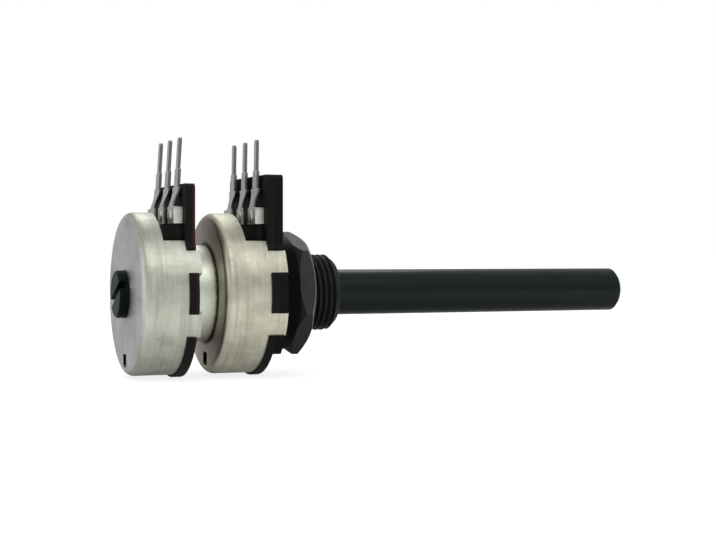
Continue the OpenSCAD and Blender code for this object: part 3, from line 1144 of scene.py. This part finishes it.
@dataclass
class Stage:
    """The pale floor, the soft lights and the camera."""

    # the floor's height in mm and half its width in metres, and the colour seen of it
    floor: float = -10.65
    reach: float = 6.0
    white: str = "#ffffff"
    # how much of the lamps' light the floor gives back
    paint: float = 0.35
    # light that the floor adds for the camera, and in front of the object for what is mirrored
    # in it, which falls over the last stretch before the axis, in mm, to this share: a painted
    # shadow under the object, seen in its reflections
    glow: float = 0.8
    mirrored_glow: float = 0.95
    fall: tuple[float, float] = (-17.0, 0.0)
    fallen: float = 0.2
    # the room's light from the horizon up to this height, and its share in front and beyond
    room: tuple[float, float] = (0.6, 0.78)
    room_top: float = 0.9
    room_share: tuple[float, float] = (1.1, 0.75)
    # the camera: its angles in degrees, focal length in pixels of the photo, place in mm and
    # the nearest and farthest it sees, in metres
    yaw: float = 21.45
    pitch: float = -0.75
    roll: float = 0.04
    focal: float = 1378.0
    eye: Point = (-56.95, -172.03, 5.33)
    sight: tuple[float, float] = (0.001, 50.0)

    def build(self) -> None:
        """Sets the floor, the surroundings, the lamps and the camera."""
        self.ground()
        self.surroundings()
        for lamp in LAMPS:
            lamp.hang()
        self.camera()
        bpy.context.scene.view_settings.view_transform = "Standard"

    def ground(self) -> None:
        """Lays the floor."""
        bm = bmesh.new()
        bmesh.ops.create_grid(bm, x_segments=1, y_segments=1, size=self.reach)
        bmesh.ops.translate(bm, vec=(0, 0, self.floor * MM), verts=bm.verts)
        mesh = bpy.data.meshes.new("floor")
        bm.to_mesh(mesh)
        bm.free()
        mesh.materials.append(self.floor_paint())
        ground = bpy.data.objects.new("floor", mesh)
        bpy.context.scene.collection.objects.link(ground)

    def floor_paint(self) -> bpy.types.Material:
        """Makes a paint that the camera sees as white, apart from the shadow on it.

        Returns:
            The material.
        """
        paint = bpy.data.materials.new("pale_floor_paint")
        paint.use_nodes = True
        tree = paint.node_tree
        tree.nodes.clear()
        draft = Draft(tree)
        rays = add_node(tree, "ShaderNodeLightPath")
        straight = add_node(
            tree, "ShaderNodeMath", {"operation": "MAXIMUM"},
            {0: rays.outputs["Is Camera Ray"], 1: rays.outputs["Is Transmission Ray"]},
        )
        full = add_node(
            tree, "ShaderNodeMath", {"operation": "MULTIPLY", 1: self.glow},
            {0: straight.outputs[0]},
        )
        # painted shadow: the glow that shiny parts mirror falls off beneath the object
        mirrored = add_node(
            tree, "ShaderNodeMapRange",
            {
                "From Min": self.fall[0] * MM, "From Max": self.fall[1] * MM,
                "To Min": self.mirrored_glow, "To Max": self.fallen * self.mirrored_glow,
            },
            {"Value": draft.place.outputs["Y"]},
        )
        level = add_node(
            tree, "ShaderNodeMath", {"operation": "MULTIPLY_ADD"},
            {
                0: rays.outputs["Is Glossy Ray"], 1: mirrored.outputs["Result"],
                2: full.outputs[0],
            },
        )
        base = add_node(tree, "ShaderNodeBsdfDiffuse", {"Color": (self.paint,) * 3 + (1.0,)})
        glow = add_node(
            tree, "ShaderNodeEmission", {"Color": linear(self.white)},
            {"Strength": level.outputs[0]},
        )
        both = add_node(
            tree, "ShaderNodeAddShader", {}, {0: base.outputs[0], 1: glow.outputs[0]}
        )
        add_node(tree, "ShaderNodeOutputMaterial", {}, {"Surface": both.outputs[0]})
        return paint

    def surroundings(self) -> None:
        """Gives the camera a white backdrop, and the object a room brighter above and in front."""
        world = bpy.data.worlds.new("studio")
        bpy.context.scene.world = world
        world.use_nodes = True
        tree = world.node_tree
        tree.nodes.clear()
        rays = add_node(tree, "ShaderNodeLightPath")
        aim = add_node(tree, "ShaderNodeTexCoord")
        split = add_node(
            tree, "ShaderNodeSeparateXYZ", {}, {"Vector": aim.outputs["Generated"]}
        )
        level = add_node(
            tree, "ShaderNodeMapRange",
            {
                "From Min": 0.0, "From Max": self.room_top, "To Min": self.room[0],
                "To Max": self.room[1], "interpolation_type": "SMOOTHSTEP",
            },
            {"Value": split.outputs["Z"]},
        )
        share = add_node(
            tree, "ShaderNodeMapRange",
            {
                "From Min": -1.0, "From Max": 1.0, "To Min": self.room_share[0],
                "To Max": self.room_share[1],
            },
            {"Value": split.outputs["Y"]},
        )
        both = add_node(
            tree, "ShaderNodeMath", {"operation": "MULTIPLY"},
            {0: level.outputs["Result"], 1: share.outputs["Result"]},
        )
        room = add_node(
            tree, "ShaderNodeBackground", {"Color": (1.0, 1.0, 1.0, 1.0)},
            {"Strength": both.outputs[0]},
        )
        white = add_node(
            tree, "ShaderNodeBackground", {"Color": linear(self.white), "Strength": 1.0}
        )
        mix = add_node(
            tree, "ShaderNodeMixShader", {},
            {0: rays.outputs["Is Camera Ray"], 1: room.outputs[0], 2: white.outputs[0]},
        )
        add_node(tree, "ShaderNodeOutputWorld", {}, {"Surface": mix.outputs[0]})

    def camera(self) -> None:
        """Places the camera where the photograph was taken from."""
        yaw, pitch, roll = (math.radians(a) for a in (self.yaw, self.pitch, self.roll))
        level = math.cos(pitch)
        ahead = Vector((math.sin(yaw) * level, math.cos(yaw) * level, math.sin(pitch)))
        side = ahead.cross(Vector((0, 0, 1))).normalized()
        up = side.cross(ahead)
        right = math.cos(roll) * side + math.sin(roll) * up
        top = math.cos(roll) * up - math.sin(roll) * side
        lens = bpy.data.cameras.new("camera")
        lens.sensor_width = SENSOR_WIDTH
        lens.lens = self.focal * SENSOR_WIDTH / PHOTO_WIDTH
        lens.clip_start, lens.clip_end = self.sight
        holder = bpy.data.objects.new("camera", lens)
        turn = Matrix((right, top, -ahead)).transposed().to_4x4()
        holder.matrix_world = Matrix.Translation(Vector(self.eye) * MM) @ turn
        bpy.context.scene.collection.objects.link(holder)
        bpy.context.scene.camera = holder


def main() -> None:
    """Builds the potentiometer from its spindle outwards, then the set round it."""
    logging.basicConfig(level=logging.INFO, format="%(name)s %(message)s")
    Spindle().build()
    Bush().build()
    Nut().build()
    Gang(Role.FRONT, FRONT_LAMINATE, "front_laminate", NECKED_TINPLATE).build()
    Gang(Role.REAR, REAR_LAMINATE, "rear_laminate", TINPLATE).build()
    Stage().build()


if __name__ == "__main__":
    main()
